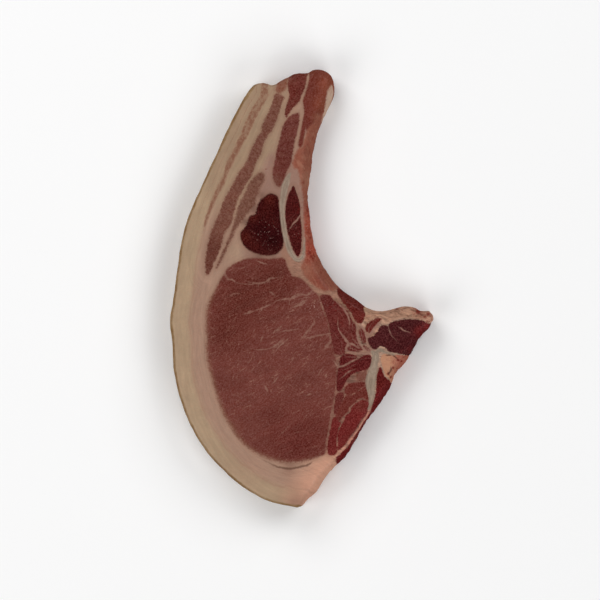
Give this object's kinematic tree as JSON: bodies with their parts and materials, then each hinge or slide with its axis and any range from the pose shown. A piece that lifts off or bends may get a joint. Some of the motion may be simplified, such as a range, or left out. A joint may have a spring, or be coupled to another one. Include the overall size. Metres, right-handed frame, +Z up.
{
  "type": "raw pork chop",
  "caption": "Raw pork loin chop with its streaky tail, a thick back fat band under the rind and a chip of chine bone, lying flat.",
  "frame": {"origin": "middle of the bounding box, on the lower cut face that the chop lies on", "axes": "+Z up out of the upper cut face, +Y towards the tail, +X towards the sawn chine side"},
  "size_m": [0.1234, 0.2052, 0.018],
  "materials": {
    "lean": "moist raw lean meat with seam fat, fine marbling and grey silverskin",
    "back_fat": "firm tan back fat with a thin brown rind on its outer side",
    "chine_bone": "sawn cream bone and cartilage with a dark crack and red marrow spots"
  },
  "bodies": {
    "root": {"lean": "lean", "back_fat": "back_fat", "chine_bone": "chine_bone"}
  },
  "joints": []
}
